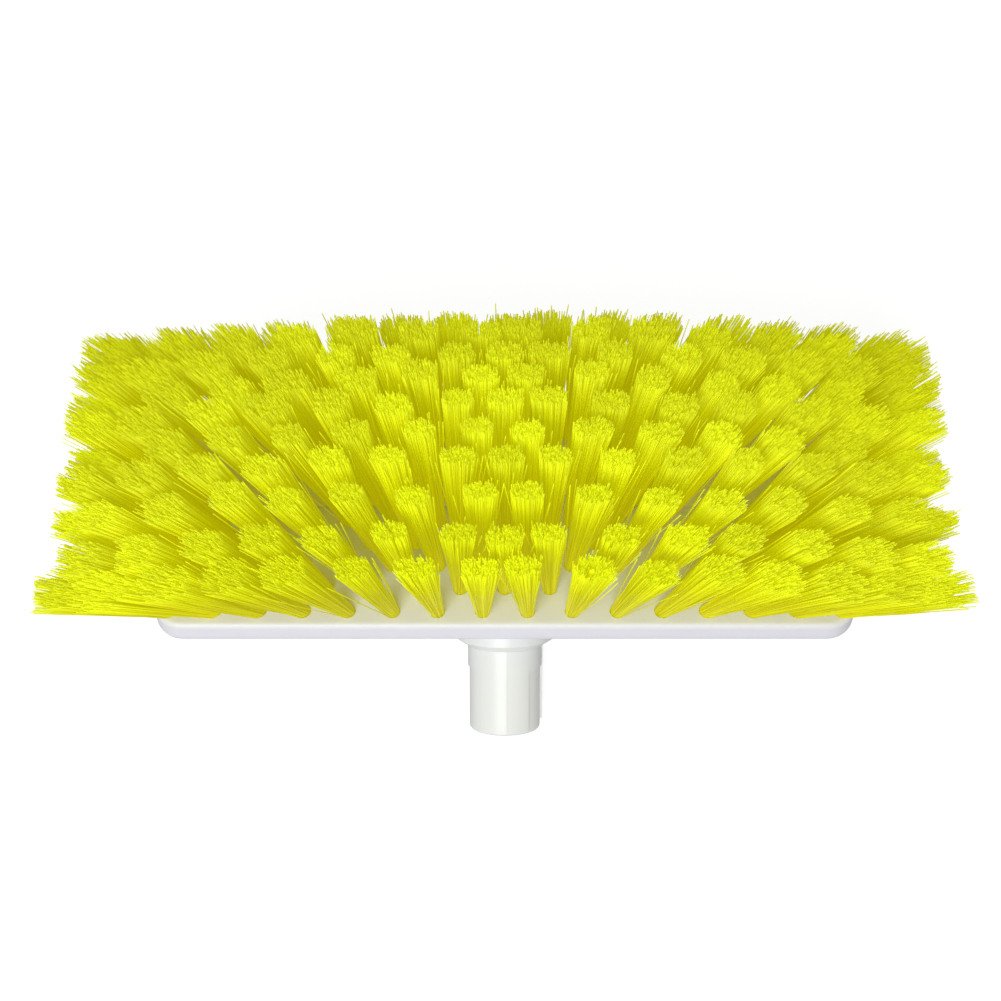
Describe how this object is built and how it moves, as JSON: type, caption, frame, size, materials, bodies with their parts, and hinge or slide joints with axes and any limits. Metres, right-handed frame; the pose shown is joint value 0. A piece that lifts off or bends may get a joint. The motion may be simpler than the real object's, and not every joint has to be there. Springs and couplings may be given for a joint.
{
  "type": "wash brush head",
  "caption": "Rectangular plastic brush head with a dense field of fanned bristle tufts and an angled threaded socket for a screw-in handle.",
  "frame": {"origin": "where the handle thread starts, 1.2 mm inside the socket's mouth, on the socket's axis", "axes": "+X along the block, +Z the way the bristles point, the handle leaves towards -Y and -Z"},
  "size_m": [0.3242, 0.1257, 0.1265],
  "materials": {
    "block_plastic": "satin white moulded plastic",
    "socket_plastic": "satin off-white moulded plastic",
    "bristle": "bright yellow-green plastic filament",
    "anchor_wire": "flat drawn wire"
  },
  "bodies": {
    "root": {"block": "block_plastic", "handle_socket": "socket_plastic", "tufts_row_01": "bristle", "tufts_row_02": "bristle", "tufts_row_03": "bristle", "tufts_row_04": "bristle", "tufts_row_05": "bristle", "tufts_row_06": "bristle", "tufts_row_07": "bristle", "tufts_row_08": "bristle", "tufts_row_09": "bristle", "tufts_row_10": "bristle", "wire_anchors_row_01": "anchor_wire", "wire_anchors_row_02": "anchor_wire", "wire_anchors_row_03": "anchor_wire", "wire_anchors_row_04": "anchor_wire", "wire_anchors_row_05": "anchor_wire", "wire_anchors_row_06": "anchor_wire", "wire_anchors_row_07": "anchor_wire", "wire_anchors_row_08": "anchor_wire", "wire_anchors_row_09": "anchor_wire", "wire_anchors_row_10": "anchor_wire"}
  },
  "joints": []
}
